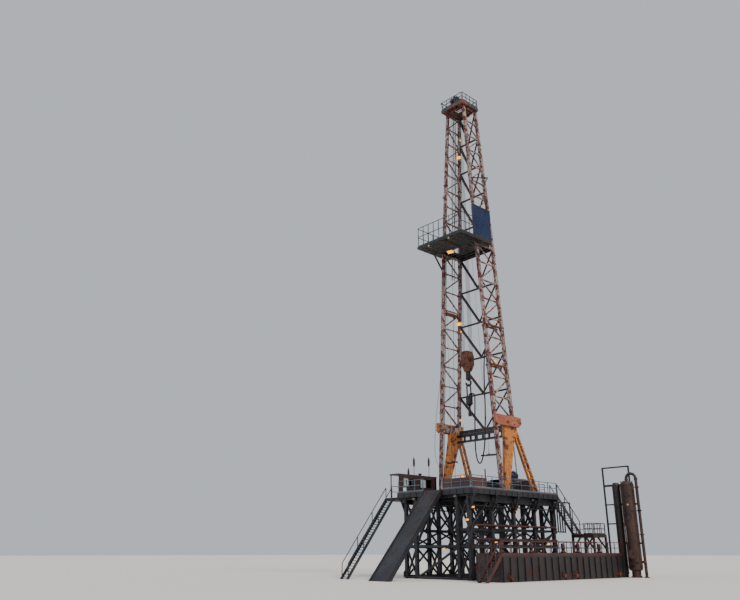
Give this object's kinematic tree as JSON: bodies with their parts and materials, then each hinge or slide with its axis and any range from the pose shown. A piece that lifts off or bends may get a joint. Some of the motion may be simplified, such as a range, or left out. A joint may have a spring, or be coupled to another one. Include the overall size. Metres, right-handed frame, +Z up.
{
  "type": "half-size scale model of an oil drilling rig",
  "caption": "Land drilling rig at half size: open-front mast on a trussed substructure, with doghouse, racking board, stairs, ramp, tanks and hoisting gear.",
  "frame": {"origin": "on the ground under the middle of the mast's four legs", "axes": "+Z up; -Y towards the open face of the mast and the ramp; -X towards the doghouse"},
  "size_m": [8.4903, 13.1106, 26.12],
  "materials": {
    "dark_steel": "worn dark blue-grey enamel over structural steel",
    "floor_paint": "worn red-brown deck paint",
    "rail_paint": "weathered pale blue-grey paint",
    "stair_steel": "weathered grey paint",
    "deck_paint": "worn red-brown paint",
    "doghouse_paint": "dull dark enamel on sheet steel",
    "mast_paint": "weathered off-white paint with rust",
    "a_frame_paint": "weathered cream paint with rust",
    "crown_paint": "rusted red-brown paint",
    "sheave_iron": "greased cast steel",
    "board_steel": "dark weathered paint",
    "wind_wall_paint": "blue sheeting",
    "drawworks_paint": "worn oxide red enamel",
    "pipe_paint": "dark blue enamel",
    "hose_rubber": "braided rubber hose",
    "wire_rope": "greased wire rope",
    "block_paint": "worn orange-brown enamel",
    "hook_iron": "oiled forged steel",
    "lamp_case": "cast aluminium lamp case",
    "tank_paint": "worn oxide red paint",
    "vessel_paint": "rust-stained brown paint",
    "rusty_plate": "rusted red-brown paint",
    "tank_shell_paint": "worn blue-black enamel on ribbed plate"
  },
  "bodies": {
    "rig": {"substructure_far_outer_truss": "dark_steel", "substructure_far_inner_truss": "dark_steel", "substructure_near_inner_truss": "dark_steel", "substructure_near_outer_truss": "dark_steel", "substructure_far_ties": "dark_steel", "substructure_near_ties": "dark_steel", "substructure_spreaders": "dark_steel", "floor_beams": "dark_steel", "v_door_ramp": "dark_steel", "a_frame_cross_beams": "dark_steel", "separator_frame": "dark_steel", "floor_plates": "floor_paint", "rotary_table": "floor_paint", "floor_rails": "rail_paint", "board_rails": "rail_paint", "crown_rails": "rail_paint", "front_stair": "stair_steel", "front_stair_treads": "stair_steel", "rear_stair": "stair_steel", "rear_stair_treads": "stair_steel", "rear_deck": "deck_paint", "doghouse_floor": "doghouse_paint", "doghouse_walls": "doghouse_paint", "doghouse_roof": "doghouse_paint", "doghouse_porch": "doghouse_paint", "mast_far_side": "mast_paint", "mast_near_side": "mast_paint", "mast_back_lower": "mast_paint", "mast_back_upper": "mast_paint", "a_frame_far_front_leg": "a_frame_paint", "a_frame_near_front_leg": "a_frame_paint", "a_frame_far_rear_leg": "a_frame_paint", "a_frame_near_rear_leg": "a_frame_paint", "crown_frame": "crown_paint", "crown_sheaves": "sheave_iron", "racking_board": "board_steel", "wind_wall": "wind_wall_paint", "drawworks": "drawworks_paint", "standpipe": "pipe_paint", "kelly_hose": "hose_rubber", "drill_lines": "wire_rope", "floodlights": "lamp_case", "mud_tank": "tank_shell_paint", "tank_walkway": "tank_paint", "tank_stair": "tank_paint", "mud_gas_separator": "vessel_paint", "trip_vessel": "vessel_paint", "floor_side_brackets": "dark_steel", "floor_wind_panels": "floor_paint", "rear_pipe_rack": "dark_steel", "a_frame_far_head": "a_frame_paint", "a_frame_near_head": "a_frame_paint", "crown_deck": "rusty_plate", "racking_fingers": "board_steel", "board_struts": "board_steel"},
    "block": {"travelling_block": "block_paint", "hook": "hook_iron", "swivel": "hook_iron"}
  },
  "joints": [
    {"name": "block_hoist", "type": "slide", "parent": "rig", "child": "block", "axis": [0, 0, 1], "range_m": [-3, 11], "deforming": ["drill_lines"]}
  ]
}
